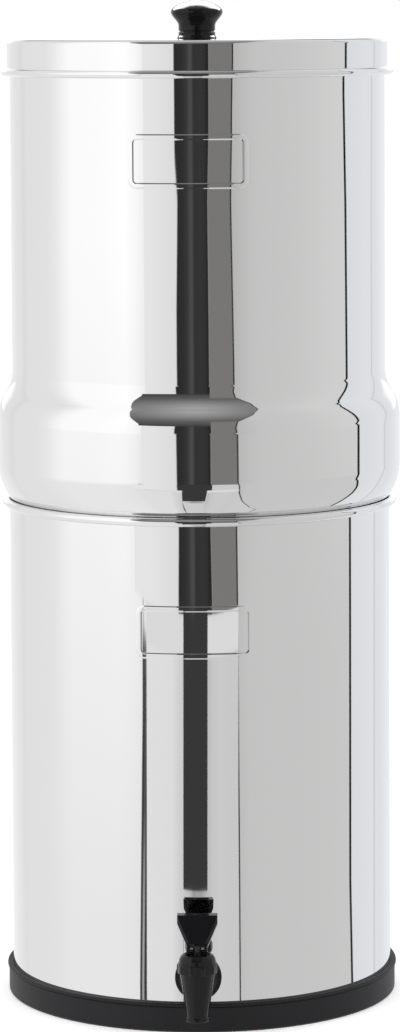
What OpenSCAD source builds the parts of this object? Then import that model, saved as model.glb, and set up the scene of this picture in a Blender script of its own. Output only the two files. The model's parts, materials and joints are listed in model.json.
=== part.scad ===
// Gravity water filter: two nesting sheet-steel chambers, two filter elements and a lever tap.
// Z = 0 is the surface it stands on, the chambers share the Z axis, and the tap faces -Y.

/* [Sheet steel] */
// Outside diameter of the lower chamber
lower_od = 254; // [240:1:270]
// Thickness of the sheet in both chambers and the lid
sheet_t = 0.8; // [0.6:0.1:1.2]
// Height of the lower chamber, from its foot to the top of its rolled rim
lower_h = 331.3; // [280:0.1:380]
// Outside radius of the lower chamber's rolled rim
lower_curl_r = 2.8; // [2.4:0.1:3.4]
// Corner radius round the foot of the lower chamber
lower_corner_r = 8; // [6:0.5:12]
// How far the middle of the lower chamber's floor is pressed up
floor_rise = 2.5; // [1.5:0.1:4]
// Width of the flat ring that the lower chamber stands on
foot_land_w = 14; // [8:0.5:20]

/* [Upper chamber] */
// Play all round when the upper chamber nests upside down in the lower one
nest_clearance = 1.6; // [0.4:0.1:2.5]
// How far the upper chamber's shoulder stands out past the lower chamber
bulge_overhang = 7.3; // [5:0.1:10]
// Height of the shoulder's straight band
bulge_h = 31.1; // [20:0.1:60]
// Height of the curved neck between the shoulder and the wall
flare_h = 31; // [24:1:45]
// Height of the straight wall above the neck
upper_wall_h = 216.5; // [190:0.5:280]
// Radius of the shoulder's underside, which rests on the lower rim
seat_r = 40; // [34:1:46]
// Radius of the tight corner that drops inside the lower rim
foot_r = 14; // [10:0.5:18]
// Slope at which the tight corner takes over from the shoulder's underside
foot_slope = 42; // [40:1:46]
// Outside radius of the upper chamber's rolled rim
upper_curl_r = 2.5; // [2:0.1:3]

/* [Lid] */
// Play between the lid's skirt and the upper chamber
lid_clearance = 1.1; // [0.5:0.1:2.5]
// Radius of the lid's top corner
lid_corner_r = 2.7; // [2.2:0.1:3.5]
// Height of the lid's straight skirt
lid_skirt_h = 19; // [12:0.1:30]
// Outside radius of the lid's rolled flange
lid_curl_r = 2.5; // [2:0.1:3.2]

/* [Lid knob] */
// Largest diameter of the knob
knob_d = 34.6; // [30:0.2:44]
// Diameter of the knob's neck
knob_neck_d = 24.5; // [20:0.5:27]
// Diameter of the knob's foot where it meets the lid
knob_foot_d = 26.4; // [24:0.2:29]
// Height of the knob
knob_h = 25.7; // [22:0.1:36]
// Height of the knob above its widest line
knob_crown_h = 8.2; // [7:0.1:10]
// Height of the collar at the knob's foot
knob_collar_h = 4; // [3:0.1:6]
// Diameter of the knob's screw
screw_d = 5; // [4:0.5:6]
// Length of the screw below its head
screw_l = 14; // [10:0.5:18]
// Diameter of the screw's head
screw_head_d = 9.5; // [8:0.5:12]
// Height of the screw's head
screw_head_h = 3.2; // [2.5:0.1:4]
// Diameter of the washer under the lid
knob_washer_d = 18; // [14:0.5:24]
// Thickness of the washer under the lid
knob_washer_t = 1.2; // [0.8:0.1:2]

/* [Base ring] */
// Height of the rubber ring round the foot
ring_h = 19; // [14:0.5:28]
// Thickness of the ring outside the steel
ring_wall_t = 2.9; // [2:0.1:4]
// Thickness of the ring under the steel
ring_floor_t = 2; // [1.5:0.1:4]
// Width of the ring's floor under the steel
ring_floor_w = 22; // [20:0.5:32]
// How far the lip at the ring's top stands out
ring_lip = 0.9; // [0.5:0.1:1.4]
// Height of the lip
ring_lip_h = 2.2; // [1.6:0.1:5]
// Bevel along the bottom edge of the ring
ring_bevel = 1.2; // [0.6:0.1:2]

/* [Filters] */
// Diameter of a filter element
filter_d = 70; // [56:1:76]
// Height of a filter element above its base
filter_h = 218; // [160:1:260]
// Radius of the element's top edge
filter_edge_r = 6; // [3:0.5:10]
// Height of the moulded base under an element
filter_base_h = 9; // [6:0.5:14]
// Distance from an element's edge to where the chamber's floor starts to curve
filter_margin = 2; // [1:0.5:8]
// Diameter of the threaded stems through the chamber's floor
stem_d = 12; // [10:0.5:13]
// Diameter of the waterway down a filter's stem
stem_bore_d = 6; // [4:0.5:7]
// Length of a stem below the filter's base or the plug's head
stem_l = 24; // [20:0.5:30]
// Outside diameter of the sealing washers
seal_d = 28; // [24:0.5:32]
// Thickness of the sealing washers
seal_t = 2.6; // [2:0.1:4]
// Diameter of a plug's head
plug_head_d = 24; // [20:0.5:28]
// Height of a plug's head
plug_head_h = 5; // [4:0.5:8]

/* [Wing nuts] */
// Diameter of a wing nut's hub
wing_hub_d = 20; // [18:0.5:24]
// Height of a wing nut's hub
wing_hub_h = 8; // [6:0.5:10]
// Distance across a wing nut's tips
wing_span = 42; // [34:0.5:50]
// Thickness of a wing
wing_t = 3.2; // [2.4:0.1:4]
// Height of a wing
wing_h = 12; // [9:0.5:14]

/* [Tap body] */
// Height of the tap's shank above the table
tap_h = 36; // [34:0.5:50]
// Distance from the chamber's wall to the spout's axis
tap_reach = 30; // [28:0.5:40]
// Diameter of the threaded shank
shank_d = 15.9; // [14:0.1:17]
// Diameter of the waterway through the shank
waterway_d = 9; // [7:0.5:10]
// Diameter of the body's arm between flange and spout
arm_d = 18; // [15:0.5:20]
// Diameter of the body's flange
flange_d = 26; // [22:0.5:29]
// Thickness of the flange
flange_t = 4; // [3:0.1:6]
// How far the outlet lies below the shank's axis
outlet_drop = 20.8; // [17:0.1:24]
// Diameter of the spout at its shoulder
spout_top_d = 22.5; // [21:0.5:25]
// Height of the spout's shoulder above the shank's axis
spout_top_h = 10; // [9:0.5:13]
// Diameter of the spout just above its lip
spout_tip_d = 13.9; // [13:0.1:16]
// Diameter of the lip round the outlet
outlet_lip_d = 15.4; // [14.2:0.1:17]
// Height of the lip
outlet_lip_h = 1.4; // [1:0.1:2]
// Diameter of the outlet's bore
outlet_d = 9; // [7:0.5:10]
// How far the valve seat lies below the shank's axis
seat_drop = 6; // [5:0.5:7]
// Height of the neck that the bonnet screws onto
spigot_h = 4; // [3:0.1:6]
// Wall between the spout and the valve chamber
spout_wall_t = 1.9; // [1.5:0.1:2.3]

/* [Tap fastening] */
// Outside diameter of the tap's washers
tap_washer_d = 30; // [27:0.5:36]
// Thickness of the tap's washers
tap_washer_t = 2.5; // [2:0.1:4]
// Width of the tap's nut across its flats
nut_flats = 24; // [21:0.5:27]
// Height of the nut's hexagon
nut_h = 6; // [4:0.5:9]
// Thickness of the nut's flange
nut_flange_t = 1.6; // [1:0.1:3]
// How far the shank stands out past its nut
shank_spare = 3; // [1:0.5:8]

/* [Tap valve] */
// Outside diameter of the bonnet's band
bonnet_d = 25; // [24:0.1:28]
// Height of the bonnet's band
bonnet_band_h = 6.4; // [5.8:0.1:8]
// Height of the bonnet's dome
bonnet_dome_h = 5.8; // [5.5:0.1:9]
// Diameter of the flat on top of the bonnet
bonnet_flat_d = 16.4; // [16:0.1:18]
// Thickness of the bonnet's top
bonnet_top_t = 2.6; // [2:0.1:3.2]
// How far the grip ribs stand out of the bonnet
rib_out = 0.7; // [0.4:0.1:1.2]
// Number of grip ribs round the bonnet
rib_count = 10; // [6:1:16]
// Height of the guide collar round the stem
collar_h = 1.4; // [0.8:0.1:2]
// Diameter of the valve stem
valve_stem_d = 5.9; // [5:0.1:6.4]
// Thickness of the seat cup's clamped rim
cup_rim_t = 1.6; // [1.2:0.1:2]
// Thickness of the seat cup's wall
cup_wall_t = 1; // [0.8:0.1:1.4]
// Diameter of the seat cup's plug
cup_plug_d = 11.6; // [10.8:0.1:12]
// Height of the seat cup's plug
cup_plug_h = 5.5; // [5:0.1:7]

/* [Tap lever] */
// Width across the lever's fork
fork_w = 12.7; // [12.6:0.1:14]
// Thickness of each side of the fork
cheek_t = 1.9; // [1.5:0.1:2]
// Diameter of the lever's pin
pin_d = 2.5; // [2:0.1:3]
// Height of the pin above the fork's sole
sole_h = 3.2; // [3:0.1:4]
// Lift of the stem for each radian that the lever turns
cam_lift = 3.2; // [2.6:0.1:4]
// Largest turn of the lever
lever_turn = 50; // [30:1:55]
// Lean of the lever towards the chamber when it is shut
lever_lean = 22; // [16:1:24]
// Width of the lever's thumb plate
plate_w = 25.7; // [22:0.1:32]
// Height of the plate's top above the pin
plate_h = 20.4; // [18:0.1:28]
// Height of the straight-sided band along the plate's top
plate_band_h = 4.8; // [3:0.1:8]
// Thickness of the plate
plate_t = 6.5; // [5.5:0.1:7.5]
// Bevel along the plate's sides
plate_bevel = 1.9; // [1:0.1:2.4]

/* [Clearances] */
// Gap where lifted parts rest on each other
seat_gap = 0.3; // [0.2:0.05:0.5]
// Gap between the lever's cam and the bonnet
cam_gap = 0.15; // [0.1:0.01:0.2]
// Radial gap round running pins and stems
running_gap = 0.05; // [0.02:0.01:0.09]
// Radial gap at threads and parts held still
thread_gap = 0.1; // [0.05:0.01:0.2]
// Radial gap round shanks and stems in the steel
hole_gap = 0.4; // [0.2:0.05:0.8]

/* [Hidden] */
$fn = 128;

steel = [0.78, 0.79, 0.80];
black = [0.07, 0.07, 0.075];
rubber = [0.13, 0.13, 0.14];
carbon = [0.10, 0.10, 0.10];
nylon = [0.86, 0.86, 0.83];
silicone = [0.80, 0.36, 0.22];

// A cut reaches this far past the face that it opens
past = 1;
// Turn of a rolled edge, which stops just short of the wall
curl_turn = 300;
// Largest turn and longest stretch, in degree millimetres, between two points of a bend
bend_turn = 15;
bend_stretch = 150;

// Chambers
lower_r = lower_od / 2;
lower_inner_r = lower_r - sheet_t;
lower_foot_z = ring_floor_t;
lower_rim_z = lower_foot_z + lower_h;
lower_curl_z = lower_rim_z - lower_curl_r;
lower_curl_at = lower_inner_r + lower_curl_r;
lower_land_r = lower_r - lower_corner_r;
upper_r = lower_inner_r - nest_clearance;
bulge_r = lower_r + bulge_overhang;
seat_at = bulge_r - seat_r;
seat_z = lower_curl_z + sqrt(pow(seat_r + lower_curl_r + seat_gap, 2) - pow(lower_curl_at - seat_at, 2));
upper_flat_r = seat_at + (seat_r - foot_r) * cos(foot_slope);
upper_foot_z = seat_z - (seat_r - foot_r) * sin(foot_slope) - foot_r;
upper_floor_z = upper_foot_z + sheet_t;
flare_turn = 2 * atan((bulge_r - upper_r) / flare_h);
flare_r = flare_h / 2 / sin(flare_turn);
upper_rim_z = seat_z + bulge_h + flare_h + upper_wall_h + upper_curl_r;

// Lid
lid_r = upper_r + lid_clearance + sheet_t;
lid_under_z = upper_rim_z + seat_gap;
lid_top_z = lid_under_z + sheet_t;
knob_screw_hole_r = screw_d / 2 + hole_gap;

// Filters and plugs, on one circle of six holes
hole_count = 6;
filter_places = [0, hole_count / 2];
plug_places = [for (k = [0 : hole_count - 1]) if (k % (hole_count / 2) != 0) k];
hole_circle_r = upper_flat_r - filter_margin - filter_d / 2;
seal_top_z = upper_floor_z + seal_t;
seal_hole_r = stem_d / 2 + thread_gap;

// Tap
tap_at = lower_r + tap_reach;
flange_at = lower_r + tap_washer_t;
tap_washer_r = tap_washer_d / 2;
nut_at = sqrt(pow(lower_inner_r - thread_gap, 2) - pow(tap_washer_r, 2)) - tap_washer_t;
shank_end_at = nut_at - nut_flange_t - nut_h - shank_spare;
outlet_z = tap_h - outlet_drop;
spout_tip_z = outlet_z + 2 * outlet_lip_h;
spout_top_z = tap_h + spout_top_h;
valve_seat_z = tap_h - seat_drop;
spigot_top_z = spout_top_z + spigot_h;
spigot_step = 0.75;
spigot_wall_t = 1.6;
spigot_r = spout_top_d / 2 - spigot_step;
chamber_r = spigot_r - spigot_wall_t;
cup_top_z = spigot_top_z + cup_rim_t;
bonnet_top_z = spout_top_z + bonnet_band_h + bonnet_dome_h;
collar_wall_t = 1.25;
collar_r = valve_stem_d / 2 + collar_wall_t;

// Stem, whose button is pressed into the plug of the seat cup
cup_plug_top_z = valve_seat_z + cup_plug_h;
cup_floor_t = 2;
stem_foot_z = valve_seat_z + cup_floor_t;
stem_button_r = 2.6;
stem_button_h = 1.6;
stem_neck_r = 1.7;

// Lever. Its plate lies on both sides of the pin, and its root is narrower than the fork
pin_z = bonnet_top_z + cam_gap + sole_h;
fork_gap_r = fork_w / 2 - cheek_t;
plate_back = 2.5;
plate_front = plate_t - plate_back;
plate_root = -0.5;
plate_root_inset = 0.4;

// Unit vectors along a heading and to its left
function along(aim) = [cos(aim), sin(aim)];
function left_of(aim) = [-sin(aim), cos(aim)];
function backwards(list) = [for (i = [len(list) - 1 : -1 : 0]) list[i]];

// Line that runs "off" to the left of a path of moves, each [length, 0] or [radius, turn to the left]
function strokes(moves, at, aim, off, i = 0) =
    i == len(moves)
    ? [at + off * left_of(aim)]
    : moves[i][1] == 0
    ? concat(
        [at + off * left_of(aim)],
        strokes(moves, at + moves[i][0] * along(aim), aim, off, i + 1)
    )
    : let (
        turn = moves[i][1],
        bend = moves[i][0] * sign(turn),
        centre = at + bend * left_of(aim),
        steps = ceil(max(abs(turn) / bend_turn, abs(turn * bend) / bend_stretch))
    )
    concat(
        [for (k = [0 : steps - 1]) centre - (bend - off) * left_of(aim + turn * k / steps)],
        strokes(moves, centre - bend * left_of(aim + turn), aim + turn, off, i + 1)
    );

// Sheet of metal spun round the Z axis, "t" thick to the left of its path
module spun_sheet(moves, at, aim, t) {
    rotate_extrude()
        polygon(concat(strokes(moves, at, aim, 0), backwards(strokes(moves, at, aim, t))));
}

// Point on an arc, for outlines written as lists of points
function arc(centre, r, from, to, steps) =
    [for (k = [0 : steps]) centre + r * along(from + (to - from) * k / steps)];

// Ring or disc along Z
module ring(outer_r, inner_r, h) {
    difference() {
        cylinder(r = outer_r, h = h);
        translate([0, 0, -past])
            cylinder(r = inner_r, h = h + 2 * past);
    }
}

// Turns its children so that their Z runs outwards along the tap's shank, from the chambers' axis
module along_shank() {
    translate([0, 0, tap_h])
        rotate([90, 0, 0])
            children();
}

module at_spout() {
    translate([0, -tap_at, 0])
        children();
}

module at_hole(place) {
    rotate([0, 0, place * 360 / hole_count])
        translate([hole_circle_r, 0, 0])
            children();
}

// ---------- lid ----------

module lid() {
    curl = [lid_curl_r - sheet_t, curl_turn];
    moves = [[lid_r - lid_corner_r, 0], [lid_corner_r, -90], [lid_skirt_h, 0], curl];
    color(steel)
        difference() {
            spun_sheet(moves, [0, lid_top_z], 0, -sheet_t);
            translate([0, 0, lid_under_z - past])
                cylinder(r = knob_screw_hole_r, h = sheet_t + 2 * past);
        }
}

module lid_knob() {
    neck_r = knob_neck_d / 2;
    widest_r = knob_d / 2;
    bottom_r = knob_foot_d / 2;
    bottom_edge_h = 0.6;
    fillet_r = bottom_r - neck_r;
    groove_r = neck_r - 0.7;
    groove_h = 1;
    groove_bevel = 0.2;
    shoulder_z = knob_collar_h + groove_h;
    straight_h = 3;
    widest_z = knob_h - knob_crown_h;
    sweep_h = widest_z - shoulder_z - straight_h;
    sweep_steps = 12;
    edge_r = 3;
    crown_h = knob_crown_h - edge_r;
    crown_r = (pow(widest_r - edge_r, 2) + pow(crown_h, 2)) / 2 / crown_h;
    crown_turn = asin((widest_r - edge_r) / crown_r);
    blind_end = 1;
    screw_hole_l = screw_l - knob_washer_t - sheet_t + blind_end;
    color(black)
        translate([0, 0, lid_top_z])
            difference() {
                rotate_extrude()
                    polygon(concat(
                        [[0, 0], [bottom_r, 0]],
                        arc([bottom_r, bottom_edge_h + fillet_r], fillet_r, 270, 180, 4),
                        [
                            [neck_r, knob_collar_h],
                            [groove_r, knob_collar_h + groove_bevel],
                            [groove_r, shoulder_z - groove_bevel],
                            [neck_r, shoulder_z]
                        ],
                        [for (k = [0 : sweep_steps])
                            [
                                neck_r + (widest_r - neck_r) * (1 - cos(k * 180 / sweep_steps)) / 2,
                                shoulder_z + straight_h + sweep_h * k / sweep_steps
                            ]
                        ],
                        arc([widest_r - edge_r, widest_z], edge_r, 0, 90 - crown_turn, 6),
                        arc([0, knob_h - crown_r], crown_r, 90 - crown_turn, 90, 10)
                    ));
                translate([0, 0, -past])
                    cylinder(r = screw_d / 2 + thread_gap, h = screw_hole_l + past);
            }
}

module lid_knob_washer() {
    color(nylon)
        translate([0, 0, lid_under_z - knob_washer_t])
            ring(knob_washer_d / 2, screw_d / 2 + hole_gap, knob_washer_t);
}

module lid_knob_screw() {
    head_r = screw_head_d / 2;
    head_edge_r = 1;
    slot_w = 1.4;
    slot_deep = 1.4;
    color(steel)
        translate([0, 0, lid_under_z - knob_washer_t])
            difference() {
                union() {
                    cylinder(r = screw_d / 2, h = screw_l);
                    rotate_extrude()
                        polygon(concat(
                            [[0, 0], [0, -screw_head_h]],
                            arc([head_r - head_edge_r, head_edge_r - screw_head_h], head_edge_r, 270, 360, 4),
                            [[head_r, 0]]
                        ));
                }
                for (side = [0, 90])
                    rotate([0, 0, side])
                        translate([-head_r / 2, -slot_w / 2, -screw_head_h - past])
                            cube([head_r, slot_w, slot_deep + past]);
            }
}

// ---------- upper chamber ----------

module upper_chamber() {
    moves = [
        [upper_flat_r, 0],
        [foot_r, 90 - foot_slope],
        [seat_r, foot_slope],
        [bulge_h, 0],
        [flare_r, flare_turn],
        [flare_r, -flare_turn],
        [upper_wall_h, 0],
        [upper_curl_r, curl_turn]
    ];
    color(steel)
        difference() {
            spun_sheet(moves, [0, upper_foot_z], 0, sheet_t);
            for (place = [0 : hole_count - 1])
                at_hole(place)
                    translate([0, 0, upper_foot_z - past])
                        cylinder(r = stem_d / 2 + hole_gap, h = sheet_t + 2 * past);
        }
}

// ---------- filters and plugs ----------

module seal(place) {
    color(rubber)
        at_hole(place)
            translate([0, 0, upper_floor_z])
                ring(seal_d / 2, seal_hole_r, seal_t);
}

module wing_nut(place) {
    hub_r = wing_hub_d / 2;
    hub_foot_h = 2;
    hub_taper = 2;
    color(nylon)
        at_hole(place)
            translate([0, 0, upper_foot_z])
                mirror([0, 0, 1])
                    difference() {
                        union() {
                            cylinder(r = hub_r, h = hub_foot_h);
                            cylinder(r1 = hub_r, r2 = hub_r - hub_taper, h = wing_hub_h);
                            translate([0, wing_t / 2, 0])
                                rotate([90, 0, 0])
                                    linear_extrude(wing_t)
                                        wing_outline();
                        }
                        translate([0, 0, -past])
                            cylinder(r = seal_hole_r, h = wing_h + 2 * past);
                    }
}

// Both wings seen from the side, each a rounded ear that rises from the hub
module wing_outline() {
    ear_r = 4;
    ear_at = wing_span / 2 - ear_r;
    ear_z = wing_h - ear_r;
    root_z = 1.5;
    web_at = wing_hub_d / 2 - ear_r;
    web_z = wing_hub_h - 1;
    for (side = [-1, 1]) {
        translate([side * ear_at, ear_z])
            circle(r = ear_r);
        polygon([
            [0, root_z],
            [side * ear_at, root_z],
            [side * (ear_at + ear_r), ear_z],
            [side * ear_at, wing_h],
            [side * web_at, web_z],
            [0, web_z]
        ]);
    }
}

module filter_element(place) {
    r = filter_d / 2;
    foot_h = 3;
    foot_step = 1.2;
    color(carbon)
        at_hole(place)
            translate([0, 0, seal_top_z + filter_base_h])
                rotate_extrude()
                    polygon(concat(
                        [[0, 0], [r - foot_step, 0], [r - foot_step, foot_h], [r, foot_h + foot_step]],
                        arc([r - filter_edge_r, filter_h - filter_edge_r], filter_edge_r, 0, 90, 8),
                        [[0, filter_h]]
                    ));
}

module filter_base(place) {
    r = filter_d / 2;
    underside_h = 3;
    edge = 2;
    color(black)
        at_hole(place)
            difference() {
                union() {
                    translate([0, 0, seal_top_z])
                        rotate_extrude()
                            polygon([
                                [0, 0],
                                [seal_d / 2, 0],
                                [r - edge, underside_h],
                                [r, underside_h + edge],
                                [r, filter_base_h],
                                [0, filter_base_h]
                            ]);
                    translate([0, 0, seal_top_z - stem_l])
                        cylinder(r = stem_d / 2, h = stem_l + past);
                }
                translate([0, 0, seal_top_z - stem_l - past])
                    cylinder(r = stem_bore_d / 2, h = stem_l + filter_base_h / 2 + past);
            }
}

module hole_plug(place) {
    r = plug_head_d / 2;
    edge_r = 1.5;
    grip_count = 8;
    grip_r = 2.4;
    grip_deep = 0.9;
    grip_z = 1.5;
    color(black)
        at_hole(place)
            translate([0, 0, seal_top_z]) {
                difference() {
                    rotate_extrude()
                        polygon(concat(
                            [[0, 0], [r, 0]],
                            arc([r - edge_r, plug_head_h - edge_r], edge_r, 0, 90, 4),
                            [[0, plug_head_h]]
                        ));
                    for (k = [0 : grip_count - 1])
                        rotate([0, 0, k * 360 / grip_count])
                            translate([r + grip_r - grip_deep, 0, grip_z])
                                cylinder(r = grip_r, h = plug_head_h, $fn = 32);
                }
                translate([0, 0, -stem_l])
                    cylinder(r = stem_d / 2, h = stem_l + past);
            }
}

// ---------- lower chamber and base ring ----------

module lower_chamber() {
    step_r = lower_land_r - foot_land_w;
    step_turn = 40;
    step_bend_r = floor_rise / 2 / (1 - cos(step_turn));
    step_run = 2 * step_bend_r * sin(step_turn);
    moves = [
        [step_r - step_run, 0],
        [step_bend_r, -step_turn],
        [step_bend_r, step_turn],
        [foot_land_w, 0],
        [lower_corner_r, 90],
        [lower_curl_z - lower_foot_z - lower_corner_r, 0],
        [lower_curl_r - sheet_t, -curl_turn]
    ];
    color(steel)
        difference() {
            spun_sheet(moves, [0, lower_foot_z + floor_rise], 0, sheet_t);
            along_shank()
                translate([0, 0, lower_inner_r - 2 * past])
                    cylinder(r = shank_d / 2 + hole_gap, h = sheet_t + 4 * past);
        }
}

module base_ring() {
    inner_r = lower_r + thread_gap;
    outer_r = lower_r + ring_wall_t;
    lip_r = outer_r + ring_lip;
    lip_z = ring_h - ring_lip_h;
    lip_edge_r = ring_lip_h / 2;
    crease = 0.3;
    bend = lower_corner_r;
    color(rubber)
        rotate_extrude()
            polygon(concat(
                [
                    [lower_r - ring_floor_w, 0],
                    [outer_r - ring_bevel, 0],
                    [outer_r, ring_bevel],
                    [outer_r, lip_z - 2 * crease],
                    [outer_r - crease, lip_z - crease],
                    [outer_r, lip_z]
                ],
                arc([lip_r - lip_edge_r, lip_z + lip_edge_r], lip_edge_r, -60, 90, 8),
                [[inner_r, ring_h]],
                arc([inner_r - bend, ring_floor_t + bend], bend, 0, -90, 8),
                [[lower_r - ring_floor_w, ring_floor_t]]
            ));
}

// ---------- tap ----------

module tap_body() {
    lip_bevel = 0.3;
    flange_step = 1;
    flange_cone_h = 3;
    color(black)
        difference() {
            union() {
                at_spout()
                    rotate_extrude()
                        polygon([
                            [0, outlet_z],
                            [outlet_lip_d / 2 - lip_bevel, outlet_z],
                            [outlet_lip_d / 2, outlet_z + lip_bevel],
                            [outlet_lip_d / 2, outlet_z + outlet_lip_h],
                            [spout_tip_d / 2, spout_tip_z],
                            [spout_top_d / 2, spout_top_z],
                            [spigot_r, spout_top_z],
                            [spigot_r, spigot_top_z],
                            [0, spigot_top_z]
                        ]);
                along_shank() {
                    translate([0, 0, flange_at])
                        cylinder(r = arm_d / 2, h = tap_at - flange_at);
                    translate([0, 0, flange_at])
                        cylinder(r = flange_d / 2, h = flange_t);
                    translate([0, 0, flange_at + flange_t])
                        cylinder(r1 = flange_d / 2 - flange_step, r2 = arm_d / 2, h = flange_cone_h);
                    translate([0, 0, shank_end_at])
                        cylinder(r = shank_d / 2, h = flange_at - shank_end_at + past);
                }
            }
            at_spout()
                valve_chamber();
            along_shank()
                translate([0, 0, shank_end_at - past])
                    cylinder(r = waterway_d / 2, h = tap_at - shank_end_at + past);
        }
}

// Space inside the tap: a tapered chamber, the ring-shaped seat at its foot and the outlet below
module valve_chamber() {
    straight_h = 1;
    taper_top_z = spout_top_z - straight_h;
    seat_chamber_r = spout_r(valve_seat_z) - spout_wall_t;
    translate([0, 0, outlet_z - past])
        cylinder(r = outlet_d / 2, h = valve_seat_z - outlet_z + 2 * past);
    rotate_extrude()
        polygon([
            [0, valve_seat_z],
            [seat_chamber_r, valve_seat_z],
            [chamber_r, taper_top_z],
            [chamber_r, spigot_top_z + past],
            [0, spigot_top_z + past]
        ]);
}

// Radius of the spout's outside at height z
function spout_r(z) =
    spout_tip_d / 2 + (spout_top_d - spout_tip_d) / 2 * (z - spout_tip_z) / (spout_top_z - spout_tip_z);

module tap_outer_washer() {
    color(rubber)
        difference() {
            along_shank()
                translate([0, 0, flange_at - 2 * tap_washer_t])
                    ring(tap_washer_r, shank_d / 2 + thread_gap, 2 * tap_washer_t);
            cylinder(r = lower_r + thread_gap, h = 3 * tap_h);
        }
}

module tap_inner_washer() {
    color(rubber)
        intersection() {
            along_shank()
                translate([0, 0, nut_at])
                    ring(tap_washer_r, shank_d / 2 + thread_gap, 2 * tap_washer_t);
            cylinder(r = lower_inner_r - thread_gap, h = 3 * tap_h);
        }
}

module tap_nut() {
    flange_out = 1.5;
    color(black)
        along_shank()
            translate([0, 0, nut_at])
                mirror([0, 0, 1])
                    difference() {
                        union() {
                            cylinder(r = nut_flats / 2 + flange_out, h = nut_flange_t);
                            cylinder(r = nut_flats / 2 / cos(30), h = nut_flange_t + nut_h, $fn = 6);
                        }
                        translate([0, 0, -past])
                            cylinder(r = shank_d / 2 + thread_gap, h = nut_flange_t + nut_h + 2 * past);
                    }
}

module tap_bonnet() {
    r = bonnet_d / 2;
    band_z = spout_top_z + bonnet_band_h;
    flat_r = bonnet_flat_d / 2;
    skirt_r = spigot_r + thread_gap;
    void_r = chamber_r - 0.3;
    void_wall_h = 1;
    void_top_z = bonnet_top_z - bonnet_top_t;
    dome_step = 0.6;
    dome_steps = 8;
    rib_end = 0.6;
    rib_root = 0.3;
    color(black)
        at_spout()
            difference() {
                union() {
                    rotate_extrude()
                        polygon(concat(
                            [[0, spout_top_z], [r, spout_top_z], [r, band_z]],
                            [for (k = [0 : dome_steps])
                                [
                                    flat_r + (r - dome_step - flat_r) * cos(k * 90 / dome_steps),
                                    band_z + bonnet_dome_h * sin(k * 90 / dome_steps)
                                ]
                            ],
                            [
                                [collar_r, bonnet_top_z],
                                [collar_r, bonnet_top_z + collar_h],
                                [0, bonnet_top_z + collar_h]
                            ]
                        ));
                    for (k = [0 : rib_count - 1])
                        rotate([0, 0, k * 360 / rib_count])
                            translate([r - rib_root, 0, spout_top_z + rib_end])
                                cylinder(r = rib_root + rib_out, h = bonnet_band_h - 2 * rib_end, $fn = 32);
                }
                translate([0, 0, spout_top_z - past])
                    cylinder(r = skirt_r, h = cup_top_z - spout_top_z + past);
                rotate_extrude()
                    polygon([
                        [0, cup_top_z - past],
                        [void_r, cup_top_z - past],
                        [void_r, cup_top_z + void_wall_h],
                        [collar_r, void_top_z],
                        [0, void_top_z]
                    ]);
                translate([0, 0, void_top_z - past])
                    cylinder(r = valve_stem_d / 2 + running_gap, h = bonnet_top_t + collar_h + 2 * past);
            }
}

module tap_stem() {
    r = valve_stem_d / 2;
    color(black)
        at_spout()
            difference() {
                union() {
                    translate([0, 0, pin_z])
                        sphere(r = r);
                    translate([0, 0, cup_plug_top_z + thread_gap])
                        cylinder(r = r, h = pin_z - cup_plug_top_z - thread_gap);
                    translate([0, 0, stem_foot_z])
                        cylinder(r = stem_neck_r, h = cup_plug_top_z + past - stem_foot_z);
                    translate([0, 0, stem_foot_z])
                        cylinder(r = stem_button_r, h = stem_button_h);
                }
                translate([-r - past, 0, pin_z])
                    rotate([0, 90, 0])
                        cylinder(r = pin_d / 2 + running_gap / 2, h = 2 * (r + past));
            }
}

module tap_seat_cup() {
    plug_r = cup_plug_d / 2;
    bell_r = chamber_r - 0.6;
    bell_z = spigot_top_z - 1.5;
    rim_r = spigot_r - thread_gap;
    socket_r = stem_button_r + thread_gap;
    throat_r = stem_neck_r + thread_gap;
    socket_top_z = stem_foot_z + stem_button_h + thread_gap;
    color(silicone)
        at_spout()
            rotate_extrude()
                polygon([
                    [0, valve_seat_z],
                    [plug_r, valve_seat_z],
                    [plug_r, cup_plug_top_z],
                    [bell_r, bell_z],
                    [bell_r, spigot_top_z],
                    [rim_r, spigot_top_z],
                    [rim_r, cup_top_z],
                    [bell_r - cup_wall_t, cup_top_z],
                    [bell_r - cup_wall_t, bell_z],
                    [plug_r - cup_wall_t, cup_plug_top_z],
                    [throat_r, cup_plug_top_z],
                    [throat_r, socket_top_z],
                    [socket_r, socket_top_z],
                    [socket_r, stem_foot_z - thread_gap],
                    [0, stem_foot_z - thread_gap]
                ]);
}

// ---------- lever ----------

// Outline of the thumb plate seen square on, drawn in from its edge by "inset".
// The inset fades out along the band, towards the corner where the level top cuts the front.
function plate_outline(inset) =
    let (
        top = plate_h / cos(lever_lean) + plate_t,
        neck = fork_w / 2 - plate_root_inset - inset,
        wide = plate_w / 2,
        corner = (plate_h - plate_front * sin(lever_lean)) / cos(lever_lean),
        side = [
            [neck, plate_root],
            [wide - inset, corner - plate_band_h],
            [wide, corner + past],
            [wide, top]
        ]
    )
    concat(side, [for (point = backwards(side)) [-point[0], point[1]]]);

// Point of the cam whose face meets the bonnet when the lever has turned by "turn".
// The curve is an involute, so the stem rises in step with the turn.
function cam_point(turn) =
    let (reach = sole_h + cam_lift * turn * PI / 180)
    reach * [sin(turn), -cos(turn)] + cam_lift * [cos(turn), sin(turn)];

// Place on the leaning plate, w forwards of the pin and v up the plate, in the fork's own axes
function on_plate(w, v) =
    [w * cos(lever_lean) - v * sin(lever_lean), w * sin(lever_lean) + v * cos(lever_lean)];

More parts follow.
